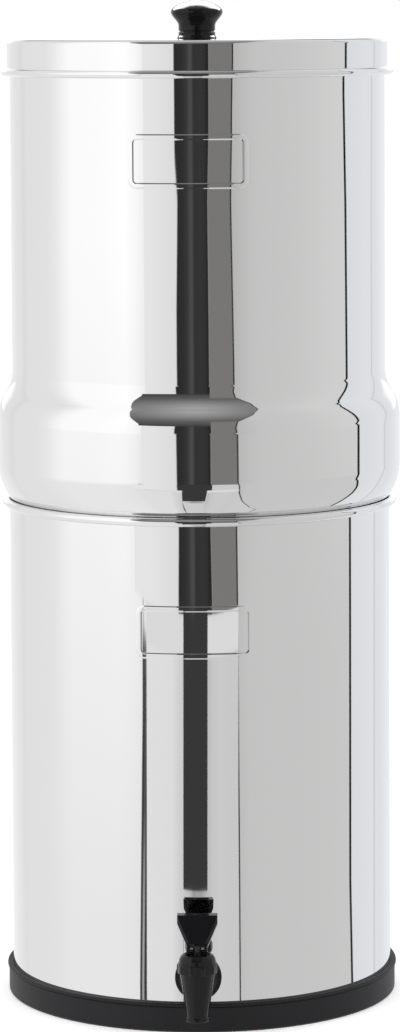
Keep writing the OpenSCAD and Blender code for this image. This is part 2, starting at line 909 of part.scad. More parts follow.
// One side of the fork: the sole at rest, the cam, and the part that runs up into the plate
module cheek_outline() {
    heel = 3.6;
    heel_v = 1;
    cheek_v = 5;
    front = plate_front - plate_bevel + 0.6;
    cam_steps = 12;
    cam_spare = 6;
    cam_end = lever_turn + cam_spare;
    polygon(concat(
        [[-heel, -sole_h]],
        [for (k = [0 : cam_steps]) cam_point(cam_end * k / cam_steps)],
        [on_plate(front, cheek_v), on_plate(-plate_back, cheek_v), on_plate(-plate_back, heel_v)]
    ));
}

module tap_lever() {
    stem_play = 0.5;
    slot_top = valve_stem_d / 2 + stem_play;
    color(black)
        translate([0, -tap_at, pin_z])
            difference() {
                union() {
                    rotate([-lever_lean, 0, 0])
                        hull() {
                            translate([0, plate_t - plate_front, 0])
                                rotate([90, 0, 0])
                                    linear_extrude(plate_t - plate_bevel)
                                        polygon(plate_outline(0));
                            translate([0, plate_t - plate_front, 0])
                                rotate([90, 0, 0])
                                    linear_extrude(plate_t)
                                        polygon(plate_outline(plate_bevel));
                        }
                    for (side = [0, 1])
                        translate([fork_w / 2 - side * (fork_w - cheek_t), 0, 0])
                            rotate([90, 0, -90])
                                linear_extrude(cheek_t)
                                    cheek_outline();
                }
                translate([-fork_gap_r, -fork_w, -fork_w])
                    cube([2 * fork_gap_r, 2 * fork_w, fork_w + slot_top]);
                translate([-fork_w / 2 - past, 0, 0])
                    rotate([0, 90, 0])
                        cylinder(r = pin_d / 2 + running_gap, h = fork_w + 2 * past);
                translate([-plate_w, -plate_w, plate_h])
                    cube([2 * plate_w, 2 * plate_w, plate_w]);
            }
}

module tap_lever_pin() {
    color(steel)
        translate([-fork_w / 2, -tap_at, pin_z])
            rotate([0, 90, 0])
                cylinder(r = pin_d / 2, h = fork_w);
}

// ---------- every node ----------

lid();
lid_knob();
lid_knob_screw();
lid_knob_washer();
upper_chamber();
filter_element(filter_places[0]);  // filter_1_element
filter_base(filter_places[0]);  // filter_1_base
seal(filter_places[0]);  // filter_1_washer
wing_nut(filter_places[0]);  // filter_1_wing_nut
filter_element(filter_places[1]);  // filter_2_element
filter_base(filter_places[1]);  // filter_2_base
seal(filter_places[1]);  // filter_2_washer
wing_nut(filter_places[1]);  // filter_2_wing_nut
hole_plug(plug_places[0]);  // hole_plug_1
seal(plug_places[0]);  // plug_washer_1
wing_nut(plug_places[0]);  // plug_wing_nut_1
hole_plug(plug_places[1]);  // hole_plug_2
seal(plug_places[1]);  // plug_washer_2
wing_nut(plug_places[1]);  // plug_wing_nut_2
hole_plug(plug_places[2]);  // hole_plug_3
seal(plug_places[2]);  // plug_washer_3
wing_nut(plug_places[2]);  // plug_wing_nut_3
hole_plug(plug_places[3]);  // hole_plug_4
seal(plug_places[3]);  // plug_washer_4
wing_nut(plug_places[3]);  // plug_wing_nut_4
lower_chamber();
base_ring();
tap_body();
tap_bonnet();
tap_stem();
tap_seat_cup();
tap_lever();
tap_lever_pin();
tap_outer_washer();
tap_inner_washer();
tap_nut();
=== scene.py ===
"""Looks of a gravity water filter: two polished steel chambers, a black lever tap, a soft white studio.

Lengths are in metres and angles in degrees. Z runs up from the table and the tap faces -Y.
"""

import json
import math

import bpy
from mathutils import Matrix, Vector

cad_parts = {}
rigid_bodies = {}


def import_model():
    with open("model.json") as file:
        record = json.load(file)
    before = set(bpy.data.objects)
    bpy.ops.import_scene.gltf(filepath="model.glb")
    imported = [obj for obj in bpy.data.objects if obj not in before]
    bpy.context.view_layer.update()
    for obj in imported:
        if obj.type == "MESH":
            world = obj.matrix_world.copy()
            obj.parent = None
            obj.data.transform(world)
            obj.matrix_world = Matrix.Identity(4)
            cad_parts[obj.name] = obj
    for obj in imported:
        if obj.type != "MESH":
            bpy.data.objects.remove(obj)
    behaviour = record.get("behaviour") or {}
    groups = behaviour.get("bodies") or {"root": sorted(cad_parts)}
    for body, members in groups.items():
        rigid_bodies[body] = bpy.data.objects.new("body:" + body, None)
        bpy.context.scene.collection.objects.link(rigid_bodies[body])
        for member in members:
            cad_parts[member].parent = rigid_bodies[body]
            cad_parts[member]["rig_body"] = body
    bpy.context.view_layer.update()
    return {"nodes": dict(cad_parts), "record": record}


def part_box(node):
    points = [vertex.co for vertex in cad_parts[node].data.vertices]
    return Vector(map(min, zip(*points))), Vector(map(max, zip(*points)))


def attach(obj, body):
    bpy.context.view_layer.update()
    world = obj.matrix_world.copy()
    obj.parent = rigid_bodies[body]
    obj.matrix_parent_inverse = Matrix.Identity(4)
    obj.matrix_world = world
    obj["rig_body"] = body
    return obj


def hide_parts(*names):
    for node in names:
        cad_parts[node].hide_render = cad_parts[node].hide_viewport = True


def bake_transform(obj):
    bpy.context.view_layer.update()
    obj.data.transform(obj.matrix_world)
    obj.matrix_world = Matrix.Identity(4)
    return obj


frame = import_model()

SLOTS = {part["node"]: part["material_slot"] for part in frame["record"]["subparts"]}

# Camera
CAMERA_AWAY = 2.72
CAMERA_HEIGHT = 0.6684
CAMERA_AZIMUTH = 1.1
CAMERA_PITCH = 3.72
CAMERA_YAW = -0.026
CAMERA_ROLL = 0.318
CAMERA_LENS = 142.4
CAMERA_SHIFT = -0.25

# Sheet steel, repeated from the part's source
SHEET = 0.0008
CURL_TURN = 300
LID_CORNER = 0.0027
LID_CURL = 0.0025
UPPER_CURL = 0.0025
LOWER_CURL = 0.0028
LOWER_CORNER = 0.008
NEST_PLAY = 0.0016
SEAT_R = 0.040
FOOT_R = 0.014
FOOT_SLOPE = 42
BULGE_H = 0.0311
FLARE_H = 0.031
FLOOR_RISE = 0.0025
FOOT_LAND = 0.014
STEP_TURN = 40

# Threaded stems, repeated from the part's source
STEM_R = 0.006
STEM_BORE = 0.003
STEM_L = 0.024
STEM_PLAY = 0.0001

# Threads cut on the stems
THREAD_PITCH = 0.002
THREAD_DEPTH = 0.0007
THREAD_END = 0.001
THREAD_STEP = 0.00025

# Pressed frames for plates on the walls
FRAME_CORNER = 0.0038
FRAME_RIDGE_W = 0.0042
FRAME_RIDGE_SIDE = 0.0011
FRAME_RIDGE_H = 0.0003
FRAME_SINK = 2e-5
FRAME_CUTS = 16
FRAME_STEP = 0.002

# How finely round things are cut
ROUND_CUTS = 288
SMALL_CUTS = 96
BEND_STEP = 4

# Light tent: the cloth's front flap stands on the table, with a narrow slit for the lens
WHITE = (1.0, 1.0, 1.0)
STEEL_TINT = 0.8
FLAP_Y = -0.54
FLAP_TOP = 0.207
FLAP_FOOT = -0.6
FLAP_ENDS = (-0.2914, 0.2034)
FLAP_SLIT = (-0.0808, 0.0394)
FLAP_LEAN = 0.038
TAB_X = (-0.37, -0.25)
TAB_TOP = 0.275
TABLE_TINT = (0.93, 0.93, 0.93)

# Strip light behind the knob
STRIP_X = (-0.42, 0.42)
STRIP_Y = 0.25
STRIP_Z = (0.77, 1.2)
STRIP_POWER = 14.0

# Edges in the tent's walls, as azimuths that follow the height
SLIT_LEFT = [(-8.4, -11.7), (-7.6, -11.3), (-5.2, -12.2), (-4.4, -12.2), (-2.9, -11.2), (-2.3, -12.9)]
SLIT_RIGHT = [(-8.5, 8.4), (-7.6, 7.7), (-5.0, 7.4), (-2.9, 6.9), (-1.9, 7.9)]
PANEL_END = [
    (-56, 47.8), (-52.5, 39.9), (-49, 36.3), (-44.8, 32.3), (-41, 29.7), (-37.3, 28.1), (-31.5, 26.3),
    (-25.6, 24.9), (-20.4, 24.3), (-12.5, 23.9), (-8.4, 23.4), (-6.2, 22.7), (-5.0, 22.2), (-2.9, 20.8),
    (-1.9, 21.6), (-0.9, 22.2), (12, 22.0), (20, 23.0), (28, 24.4), (36, 30.6), (43.5, 37.8), (50.5, 43.2),
    (57, 51.4), (62, 60.0),
]
FAR_SEAM = [
    (-36, 109.2), (-27, 109.3), (-22, 108.5), (-18.5, 107.2), (-14, 105.0), (-12.4, 103.2), (-8.8, 103.8),
    (-5.4, 104.1), (-3.0, 103.3), (-1.4, 101.7), (3.5, 104.0), (20, 103.0), (27, 103.4), (32.6, 105.1),
    (36, 108.7),
]
FAR_FOLD = [(-13, 130.9), (-7.5, 132.7), (-5, 134.6), (-3, 134.6), (-1.5, 136)]
GAP_LEFT = [(-13.8, -36.6), (-10, -33.9), (-9.1, -33.7), (-8.9, -33.5)]
GAP_RIGHT = [(-13.8, -32.3), (-9.4, -31.05), (-9.1, -31.0), (-8.9, -32.7)]
ROOF_LEFT = [(17, -34), (22, -35), (29, -39), (37, -44), (45, -48.5), (52, -53.5), (58, -58)]


# ---------- outlines ----------


def along(heading):
    """Unit vector along a heading in the plane of radius and height."""
    turn = math.radians(heading)
    return Vector((math.cos(turn), math.sin(turn)))


def left_of(heading):
    """Unit vector to the left of a heading."""
    return along(heading + 90)


def trace(moves, at, heading):
    """Stations (point, heading) along moves, each (length, 0) or (radius, turn to the left)."""
    point = Vector(at)
    stations = [(point, heading)]
    for size, turn in moves:
        if turn == 0:
            point = point + size * along(heading)
            stations.append((point, heading))
            continue
        bend = math.copysign(size, turn)
        centre = point + bend * left_of(heading)
        steps = math.ceil(abs(turn) / BEND_STEP)
        for k in range(1, steps + 1):
            aim = heading + turn * k / steps
            stations.append((centre - bend * left_of(aim), aim))
        heading += turn
        point = stations[-1][0]
    return stations


def sheet(stations, thickness):
    """Closed outline of a sheet that lies to the left of its path, or to the right if negative."""
    right, left = sorted((0, thickness))
    near = [(point + right * left_of(aim), aim) for point, aim in stations]
    far = [(point + left * left_of(aim), aim + 180) for point, aim in reversed(stations)]
    edge = near[-1][1] + 90
    return near + [(near[-1][0], edge), (far[0][0], edge)] + far


def rounded(corners, closed=False):
    """Stations round (radius, height, fillet) corners, with the solid on the left of the line."""
    points = [Vector(corner[:2]) for corner in corners]
    count = len(corners)
    stations = []
    for k, (point, fillet) in enumerate(zip(points, [corner[2] for corner in corners])):
        before, after = points[k - 1], points[(k + 1) % count]
        arrive, leave = bearing(before, point), bearing(point, after)
        if not closed and k == 0:
            stations.append((point, leave))
        elif not closed and k == count - 1:
            stations.append((point, arrive))
        elif fillet == 0:
            stations += [(point, arrive), (point, leave)]
        else:
            stations += filleted(point, fillet, arrive, leave)
    if closed:
        stations.append(stations[0])
    return stations


def bearing(start, end):
    """Heading from one point to another."""
    step = end - start
    return math.degrees(math.atan2(step.y, step.x))


def filleted(point, fillet, arrive, leave):
    """Stations round one corner."""
    turn = (leave - arrive + 180) % 360 - 180
    reach = fillet * math.tan(math.radians(abs(turn) / 2))
    bend = math.copysign(fillet, turn)
    centre = point - reach * along(arrive) + bend * left_of(arrive)
    steps = max(2, math.ceil(abs(turn) / 10))
    headings = [arrive + turn * k / steps for k in range(steps + 1)]
    return [(centre - bend * left_of(aim), aim) for aim in headings]


def curve(place, steps):
    """Stations along the curve place(t), with t from 0 to 1."""
    small = 1e-4
    stations = []
    for k in range(steps + 1):
        t = k / steps
        before, after = place(max(0, t - small)), place(min(1, t + small))
        stations.append((Vector(place(t)), bearing(Vector(before), Vector(after))))
    return stations


# ---------- meshes ----------


class Shell:
    """Mesh in the making: points, faces and an exact normal for every corner of every face."""

    def __init__(self):
        """Starts with nothing in it."""
        self.points = []
        self.faces = []
        self.normals = []

    def point(self, place):
        """Adds a point and returns its number."""
        self.points.append(tuple(place))
        return len(self.points) - 1

    def face(self, corners, normals):
        """Adds a face by its points' numbers, with a normal for each."""
        self.faces.append(corners)
        self.normals.extend(normals)

    def spin(self, stations, cuts=ROUND_CUTS, relief=None):
        """Turns an outline round Z. relief(angle, height) lifts the surface."""
        angles = [2 * math.pi * k / cuts for k in range(cuts)]
        rows, known = [], {}
        for point, _ in stations:
            key = (round(point.x, 8), round(point.y, 8))
            if key not in known:
                known[key] = self.row(point, angles, relief)
            rows.append(known[key])
        for k in range(len(stations) - 1):
            if rows[k] is not rows[k + 1]:
                self.belt(rows[k], rows[k + 1], stations[k], stations[k + 1], angles, relief)

    def row(self, point, angles, relief):
        """Points of one row, or the single point where the row shrinks to the axis."""
        if point.x < 1e-7:
            return [self.point((0, 0, point.y))]
        places = []
        for angle in angles:
            radius = point.x + (relief(angle, point.y) if relief else 0)
            places.append((radius * math.cos(angle), radius * math.sin(angle), point.y))
        return [self.point(place) for place in places]

    def belt(self, low, high, station, following, angles, relief):
        """Faces between two rows."""
        cuts = len(angles)
        near = [turned(station, angle, relief) for angle in angles]
        far = [turned(following, angle, relief) for angle in angles]
        for j in range(cuts):
            k = (j + 1) % cuts
            if len(low) == 1:
                self.face((low[0], high[k], high[j]), (near[j], far[k], far[j]))
            elif len(high) == 1:
                self.face((low[j], low[k], high[0]), (near[j], near[k], far[j]))
            else:
                self.face((low[j], low[k], high[k], high[j]), (near[j], near[k], far[k], far[j]))

    def made(self, name, matrix=None):
        """The finished object, moved by matrix."""
        mesh = bpy.data.meshes.new(name)
        mesh.from_pydata(self.points, [], self.faces)
        mesh.shade_smooth()
        mesh.normals_split_custom_set(self.normals)
        if matrix:
            mesh.transform(matrix)
        made = bpy.data.objects.new(name, mesh)
        bpy.context.scene.collection.objects.link(made)
        return made


def turned(station, angle, relief):
    """Normal to the right of a station's heading, turned round Z and tilted by the relief's slope."""
    point, heading = station
    side = left_of(heading)
    out, up = -side.x, -side.y
    around = 0.0
    if relief and point.x > 1e-7:
        small = 2e-5
        swing = small / point.x
        lift_up = (relief(angle, point.y + small) - relief(angle, point.y - small)) / 2 / small
        lift_round = (relief(angle + swing, point.y) - relief(angle - swing, point.y)) / 2 / small
        up -= out * lift_up
        around = -out * lift_round
    normal = Vector((
        out * math.cos(angle) - around * math.sin(angle),
        out * math.sin(angle) + around * math.cos(angle),
        up,
    ))
    return tuple(normal.normalized())


def stands_for(piece, node):
    """Gives a new piece the body and the slot of the node that it replaces."""
    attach(piece, frame["nodes"][node]["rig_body"])
    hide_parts(node)
    dressed(piece, SLOTS[node])
    return piece


def dressed(piece, slot):
    """Gives a piece the finish of a slot."""
    piece.data.materials.clear()
    piece.data.materials.append(FINISHES[slot])


def carried_over(node, edge=0.0):
    """Shows a node of the part with its finish, its edges rounded by edge."""
    piece = frame["nodes"][node]
    piece.data.materials.clear()
    piece.data.materials.append(FINISHES[SLOTS[node]])
    if edge:
        weld = piece.modifiers.new("weld", "WELD")
        weld.merge_threshold = 1e-6
        bevel = piece.modifiers.new("edges", "BEVEL")
        bevel.width = edge
        bevel.segments = 3
        bevel.limit_method = "ANGLE"
        bevel.angle_limit = math.radians(32)
        bevel.use_clamp_overlap = True
        bevel.harden_normals = False
        flat = piece.modifiers.new("flat faces", "WEIGHTED_NORMAL")
        flat.keep_sharp = False
        flat.weight = 80


# ---------- shader nodes ----------


def new_node(tree, kind, inputs=(), **settings):
    """New node with some settings changed and some inputs fed, each (label or number, value)."""
    made = tree.nodes.new(kind)
    for name, value in settings.items():
        setattr(made, name, value)
    for label, value in inputs:
        feed(tree, made.inputs[label], value)
    return made


def feed(tree, socket, value):
    """Links a socket into another, or sets it."""
    if isinstance(value, bpy.types.NodeSocket):
        tree.links.new(value, socket)
    elif isinstance(value, tuple) and len(value) == 3 and socket.type == "RGBA":
        socket.default_value = (*value, 1)
    else:
        socket.default_value = value


def worked(tree, operation, *values):
    """Result of a Math node."""
    return new_node(tree, "ShaderNodeMath", enumerate(values), operation=operation).outputs[0]


def ranged(tree, value, start, end, low=0.0, high=1.0, kind="SMOOTHSTEP"):
    """Result of a Map Range node."""
    given = [("Value", value), ("From Min", start), ("From Max", end), ("To Min", low), ("To Max", high)]
    return new_node(tree, "ShaderNodeMapRange", given, interpolation_type=kind).outputs["Result"]


def mixed(tree, share, first, second):
    """Mix of two colours, through the Mix node's colour sockets."""
    given = [(0, share), (6, first), (7, second)]
    return new_node(tree, "ShaderNodeMix", given, data_type="RGBA").outputs[2]


def offset(tree, value, step):
    """A socket or number moved by a plain step."""
    return worked(tree, "ADD", value, step) if isinstance(value, bpy.types.NodeSocket) else value + step


def band(tree, angle, low, high, soft):
    """Mask that is 1 between two edges, each "soft" wide on either side."""
    rise = ranged(tree, angle, offset(tree, low, -soft), offset(tree, low, soft))
    fall = ranged(tree, angle, offset(tree, high, -soft), offset(tree, high, soft), 1.0, 0.0)
    return worked(tree, "MULTIPLY", rise, fall)


def followed(tree, value, points):
    """Number that runs straight from point to point, each (value, result)."""
    total = points[0][1]
    for (start, low), (end, high) in zip(points, points[1:]):
        step = ranged(tree, value, start, end, 0.0, high - low, "LINEAR")
        total = worked(tree, "ADD", step, total)
    return total


def cloth(tree, level, warmth=0.0):
    """Colour of cloth whose reflection in the steel has a level that is a socket."""
    return mixed(tree, level, (0.0, 0.0, 0.0), grey(1.0, warmth))


def panels(tree, angle, under, bands):
    """Paints bands (low, high, soft, colour) one over the other."""
    for low, high, soft, colour in bands:
        under = mixed(tree, band(tree, angle, low, high, soft), under, colour)
    return under


def grey(level, warmth=0.0):
    """Colour whose reflection in the steel has this level, warmer above 0 and cooler below."""
    return tuple(level * (1 + warmth * side) / STEEL_TINT for side in (1, 0.1, -1))


def effect(name, inputs, outputs):
    """Empty group of nodes for an effect: the group, its inner inputs and its inner outputs."""
    group = bpy.data.node_groups.new(name, "ShaderNodeTree")
    for label, value in inputs.items():
        kind = "NodeSocketColor" if isinstance(value, tuple) else "NodeSocketFloat"
        socket = group.interface.new_socket(label, in_out="INPUT", socket_type=kind)
        socket.default_value = (*value, 1) if isinstance(value, tuple) else value
    for label, kind in outputs.items():
        group.interface.new_socket(label, in_out="OUTPUT", socket_type=kind)
    enter = new_node(group, "NodeGroupInput")
    leave = new_node(group, "NodeGroupOutput")
    return group, enter.outputs, leave.inputs


def placed(tree, group, **values):
    """Puts a group into a material with its own values, and returns the group's outputs."""
    given = [(label.replace("_", " "), value) for label, value in values.items()]
    return new_node(tree, "ShaderNodeGroup", given, node_tree=group).outputs


def noise(tree, place, scale, detail=2.0, roughness=0.5):
    """Value of a noise texture."""
    given = [("Vector", place), ("Scale", scale), ("Detail", detail), ("Roughness", roughness)]
    return new_node(tree, "ShaderNodeTexNoise", given).outputs[0]


def object_place(tree):
    """Place on the object at rest, in metres."""
    return new_node(tree, "ShaderNodeTexCoord").outputs["Object"]


def stretched(tree, place, scale):
    """A place scaled differently along its three axes."""
    return new_node(tree, "ShaderNodeMapping", [("Vector", place), ("Scale", scale)]).outputs[0]


def bumped(tree, height, distance):
    """Normal of a surface raised by height times distance."""
    given = [("Strength", 1.0), ("Distance", distance), ("Height", height)]
    return new_node(tree, "ShaderNodeBump", given).outputs[0]


def surface(name, **values):
    """Material with one Principled BSDF: its tree, its shader and the material."""
    material = bpy.data.materials.new(name)
    material.use_nodes = True
    tree = material.node_tree
    shader = tree.nodes["Principled BSDF"]
    for label, value in values.items():
        feed(tree, shader.inputs[label.replace("_", " ")], value)
    return tree, shader, material


# ---------- effects ----------


def polishing_effect():
    """Sheet that was drawn and buffed: slow waves, faint upright streaks and a few dull patches."""
    group, given, result = effect(
        "buffed sheet",
        {"Roughness": 0.02, "Streaks": 0.01, "Dull Patches": 0.02},
        {"Roughness": "NodeSocketFloat", "Height": "NodeSocketFloat"},
    )
    place = object_place(group)
    waves = noise(group, place, 28.0, 1.0)
    streaks = noise(group, stretched(group, place, (420, 420, 6)), 1.0, 3.0)
    patches = ranged(group, noise(group, place, 9.0, 3.0), 0.52, 0.75)
    rough = worked(group, "MULTIPLY_ADD", streaks, given["Streaks"], given["Roughness"])
    rough = worked(group, "MULTIPLY_ADD", patches, given["Dull Patches"], rough)
    group.links.new(rough, result["Roughness"])
    group.links.new(waves, result["Height"])
    return group


def moulding_effect():
    """Moulded plastic or rubber: a fine grain, slow flow marks and colour that varies a little."""
    group, given, result = effect(
        "moulded skin",
        {"Colour": (0.03, 0.03, 0.03), "Variation": 0.1, "Roughness": 0.3, "Rough Variation": 0.08,
         "Grain Scale": 2500.0, "Flow": 0.3},
        {"Colour": "NodeSocketColor", "Roughness": "NodeSocketFloat", "Height": "NodeSocketFloat"},
    )
    place = object_place(group)
    grain = noise(group, place, given["Grain Scale"], 2.0)
    flow = noise(group, place, 160.0, 2.0)
    cloud = noise(group, place, 60.0, 3.0)
    spread = worked(group, "SUBTRACT", cloud, 0.5)
    bright = worked(group, "MULTIPLY_ADD", spread, given["Variation"], 1.0)
    scaling = [(0, given["Colour"]), ("Scale", bright)]
    scaled = new_node(group, "ShaderNodeVectorMath", scaling, operation="SCALE")
    group.links.new(scaled.outputs[0], result["Colour"])
    rough = worked(group, "MULTIPLY_ADD", spread, given["Rough Variation"], given["Roughness"])
    group.links.new(rough, result["Roughness"])
    height = worked(group, "MULTIPLY_ADD", flow, given["Flow"], grain)
    group.links.new(height, result["Height"])
    return group


# ---------- finishes ----------


def steel(name, roughness, streaks, patches, wave):
    """Stainless steel sheet."""
    tree, shader, material = surface(
        name, Base_Color=(STEEL_TINT, STEEL_TINT, STEEL_TINT * 1.004), Metallic=1.0
    )
    sheet_marks = placed(tree, BUFFED, Roughness=roughness, Streaks=streaks, Dull_Patches=patches)
    feed(tree, shader.inputs["Roughness"], sheet_marks["Roughness"])
    feed(tree, shader.inputs["Normal"], bumped(tree, sheet_marks["Height"], wave))
    return material


def moulded(name, colour, roughness, grain=2500.0, depth=4e-6, flow=0.3, variation=0.1, **more):
    """Moulded plastic, rubber or silicone."""
    tree, shader, material = surface(name, **more)
    skin = placed(
        tree, MOULDED, Colour=colour, Roughness=roughness, Grain_Scale=grain, Flow=flow, Variation=variation
    )
    feed(tree, shader.inputs["Base Color"], skin["Colour"])
    feed(tree, shader.inputs["Roughness"], skin["Roughness"])
    feed(tree, shader.inputs["Normal"], bumped(tree, skin["Height"], depth))
    return material


BUFFED = polishing_effect()
MOULDED = moulding_effect()
FINISHES = {
    "polished_steel": steel("polished steel", 0.02, 0.02, 0.01, 1.2e-5),
    "plain_steel": steel("plain steel", 0.16, 0.1, 0.08, 1.0e-5),
    "black_gloss": moulded("black gloss plastic", (0.006, 0.006, 0.007), 0.12, depth=1e-6, IOR=1.32),
    "black_nylon": moulded("black nylon", (0.02, 0.02, 0.022), 0.42, depth=6e-6),
    "white_nylon": moulded("white nylon", (0.8, 0.8, 0.77), 0.38, depth=6e-6, Subsurface_Weight=0.05),
    "black_rubber": moulded(
        "black rubber", (0.0135, 0.0125, 0.0145), 0.5, grain=1800.0, depth=1e-5, IOR=1.32
    ),
    "carbon_block": moulded(
        "carbon block", (0.03, 0.03, 0.03), 0.85, grain=900.0, depth=6e-5, variation=0.5
    ),
    "silicone": moulded("silicone", (0.6, 0.18, 0.09), 0.45, depth=3e-6),
}


# ---------- studio ----------


def studio_world():
    """Light tent that the steel reflects: white cloth, a dark slit in front and a dark roof panel."""
    world = bpy.data.worlds.new("studio")
    bpy.context.scene.world = world
    world.use_nodes = True
    tree = world.node_tree
    tree.nodes.clear()
    x, y, z = numbers_of(tree, new_node(tree, "ShaderNodeTexCoord").outputs["Generated"])
    azimuth = worked(tree, "DEGREES", worked(tree, "ARCTAN2", x, worked(tree, "MULTIPLY", y, -1.0)))
    height = worked(tree, "DEGREES", worked(tree, "ARCSINE", z))

    panel_end = followed(tree, height, PANEL_END)
    seen = tent_walls(tree, azimuth, height, panel_end)
    seen = tent_gap(tree, azimuth, height, seen)
    seen = tent_roof(tree, azimuth, height, panel_end, seen)
    edge = band(tree, azimuth, offset(tree, panel_end, -0.45), offset(tree, panel_end, 0.35), 0.2)
    seen = mixed(tree, edge, seen, grey(0.005))
    seen = tent_back(tree, azimuth, height, y, seen)

    path = new_node(tree, "ShaderNodeLightPath")
    mirrored = worked(tree, "MAXIMUM", path.outputs["Is Glossy Ray"], path.outputs["Is Transmission Ray"])
    colour = mixed(tree, mirrored, (0.78, 0.78, 0.78), seen)
    colour = mixed(tree, path.outputs["Is Camera Ray"], colour, WHITE)
    background = new_node(tree, "ShaderNodeBackground", [("Color", colour)])
    new_node(tree, "ShaderNodeOutputWorld", [("Surface", background.outputs[0])])


def tent_walls(tree, azimuth, height, panel_end):
    """Cloth walls with the slit for the lens, brightest on the left and dimmer lower down."""
    slit_left = followed(tree, height, SLIT_LEFT)
    slit_right = followed(tree, height, SLIT_RIGHT)
    far_seam = followed(tree, height, FAR_SEAM)
    fold = followed(tree, height, FAR_FOLD)
    beside = mixed(tree, ranged(tree, height, -9.2, -9.0), grey(0.58), grey(0.18, 0.02))
    return panels(tree, azimuth, left_cloth(tree, azimuth, height), [
        (slit_left, slit_right, 0.3, slit_inside(tree, azimuth, height)),
        (slit_right, panel_end, 0.25, beside),
        (panel_end, far_seam, 0.25, right_cloth(tree, azimuth, height)),
        (far_seam, 182, 0.25, far_cloth(tree, azimuth)),
        (offset(tree, fold, -1.0), offset(tree, fold, 1.0), 0.5, grey(0.60, -0.03)),
        (offset(tree, far_seam, -1.0), offset(tree, far_seam, 1.0), 0.25, grey(0.008)),
    ])


def left_cloth(tree, azimuth, height):
    """Left wall, up to the slit: a bright panel, and a plainer one to the right of its edge."""
    high = followed(tree, azimuth, [
        (-157, 0.74), (-150, 0.72), (-140, 0.72), (-134, 0.68), (-128, 0.73), (-104, 0.75), (-96, 0.80),
        (-89, 0.89), (-82, 0.96), (-60, 0.97), (-44, 1.0), (-37, 0.94), (-32.2, 0.87),
    ])
    low = followed(tree, azimuth, [
        (-157, 0.78), (-150, 0.77), (-140, 0.74), (-134, 0.71), (-128, 0.73), (-100, 0.75), (-82, 0.79),
        (-50, 0.79), (-36, 0.76), (-32.2, 0.72),
    ])
    dimmer = ranged(tree, height, -13.0, -3.5, kind="LINEAR")
    wall = mixed(tree, dimmer, cloth(tree, low), cloth(tree, high))
    plain = cloth(tree, followed(tree, azimuth, [(-31.6, 0.78), (-26, 0.77), (-18, 0.73), (-12, 0.70)]))
    return mixed(tree, ranged(tree, azimuth, -32.1, -31.7), wall, plain)


def slit_inside(tree, azimuth, height):
    """Dark room seen through the slit, with a paler upright streak in it."""
    streak = followed(tree, azimuth, [
        (-12.5, 0.022), (-8.0, 0.028), (-5.5, 0.038), (-3.6, 0.068), (-2.5, 0.068), (-1.4, 0.034),
        (0.0, 0.032), (2.5, 0.035), (5.5, 0.030), (6.8, 0.018),
    ])
    upper = ranged(tree, height, -8.75, -8.6)
    return mixed(tree, upper, grey(0.038), cloth(tree, streak))


def right_cloth(tree, azimuth, height):
    """Dimmer wall on the right."""
    high = followed(tree, azimuth, [(23, 0.46), (30, 0.51), (36, 0.54), (66, 0.57), (93, 0.62)])
    low = followed(tree, azimuth, [(23, 0.50), (30, 0.54), (50, 0.55), (80, 0.56), (100, 0.57)])
    share = ranged(tree, height, -9.0, -5.0, kind="LINEAR")
    return mixed(tree, share, cloth(tree, low, 0.006), cloth(tree, high, 0.006))


def far_cloth(tree, azimuth):
    """Cooler wall behind on the right."""
    level = followed(tree, azimuth, [(103, 0.70), (127, 0.74), (139, 0.71), (158, 0.76), (176, 0.72)])
    return cloth(tree, level, -0.025)


def tent_gap(tree, azimuth, height, under):
    """Dark gap to the left of the flap with a grey strip in it, and the faint seam that runs on above it."""
    left = followed(tree, height, GAP_LEFT)
    right = followed(tree, height, GAP_RIGHT)
    strip = cloth(tree, followed(tree, height, [(-13.0, 0.34), (-12.3, 0.26), (-11.4, 0.08), (-9.2, 0.07)]))
    inside = panels(
        tree, azimuth, grey(0.035), [(offset(tree, left, 1.3), offset(tree, left, 2.6), 0.3, strip)]
    )
    share = followed(tree, height, [
        (-15.2, 0.0), (-14.8, 1.0), (-9.1, 1.0), (-8.9, 0.4), (-7.2, 0.4), (-7.0, 0.0),
    ])
    shows = worked(tree, "MULTIPLY", share, band(tree, azimuth, left, right, 0.25))
    return mixed(tree, shows, under, inside)


def tent_back(tree, azimuth, height, y, under):
    """Cloth behind, dim between 25 and 50 degrees up, and the dim cloth overhead in front."""
    back = ranged(tree, worked(tree, "ABSOLUTE", azimuth), 147.0, 155.0)
    level = followed(tree, height, [(1.0, 1.0), (20.0, 0.8), (25.0, 0.14), (50.0, 0.14), (62.0, 0.8)])
    behind = worked(tree, "MULTIPLY", back, ranged(tree, height, 0.0, 0.15))
    seen = mixed(tree, behind, under, cloth(tree, level))
    overhead = worked(tree, "MULTIPLY", ranged(tree, y, 0.03, -0.03), ranged(tree, height, 61.0, 67.0))
    return mixed(tree, overhead, seen, grey(0.13))


def tent_roof(tree, azimuth, height, right, under):
    """Dark roof panel between two seams that spread as they rise. It is lightest in its middle."""
    level = followed(tree, height, [
        (17.5, 0.045), (24, 0.08), (32, 0.11), (40, 0.16), (48, 0.20), (57, 0.23),
    ])
    rise = followed(tree, height, [(30, 0.0), (57, 0.12)])
    middle = followed(tree, azimuth, [(-45, 0.0), (-8, 1.0), (2, 1.0), (45, -0.2)])
    roof = cloth(tree, worked(tree, "MULTIPLY_ADD", rise, middle, level))
    slit_right = followed(tree, height, SLIT_RIGHT)
    low = worked(
        tree, "MULTIPLY", ranged(tree, height, 33.0, 26.0), band(tree, azimuth, slit_right, right, 0.3)
    )
    roof = mixed(tree, low, roof, grey(0.18, 0.02))
    left = followed(tree, height, ROOF_LEFT)
    shows = worked(tree, "MULTIPLY", ranged(tree, height, 17.2, 17.8), band(tree, azimuth, left, right, 0.4))
    return mixed(tree, shows, under, roof)


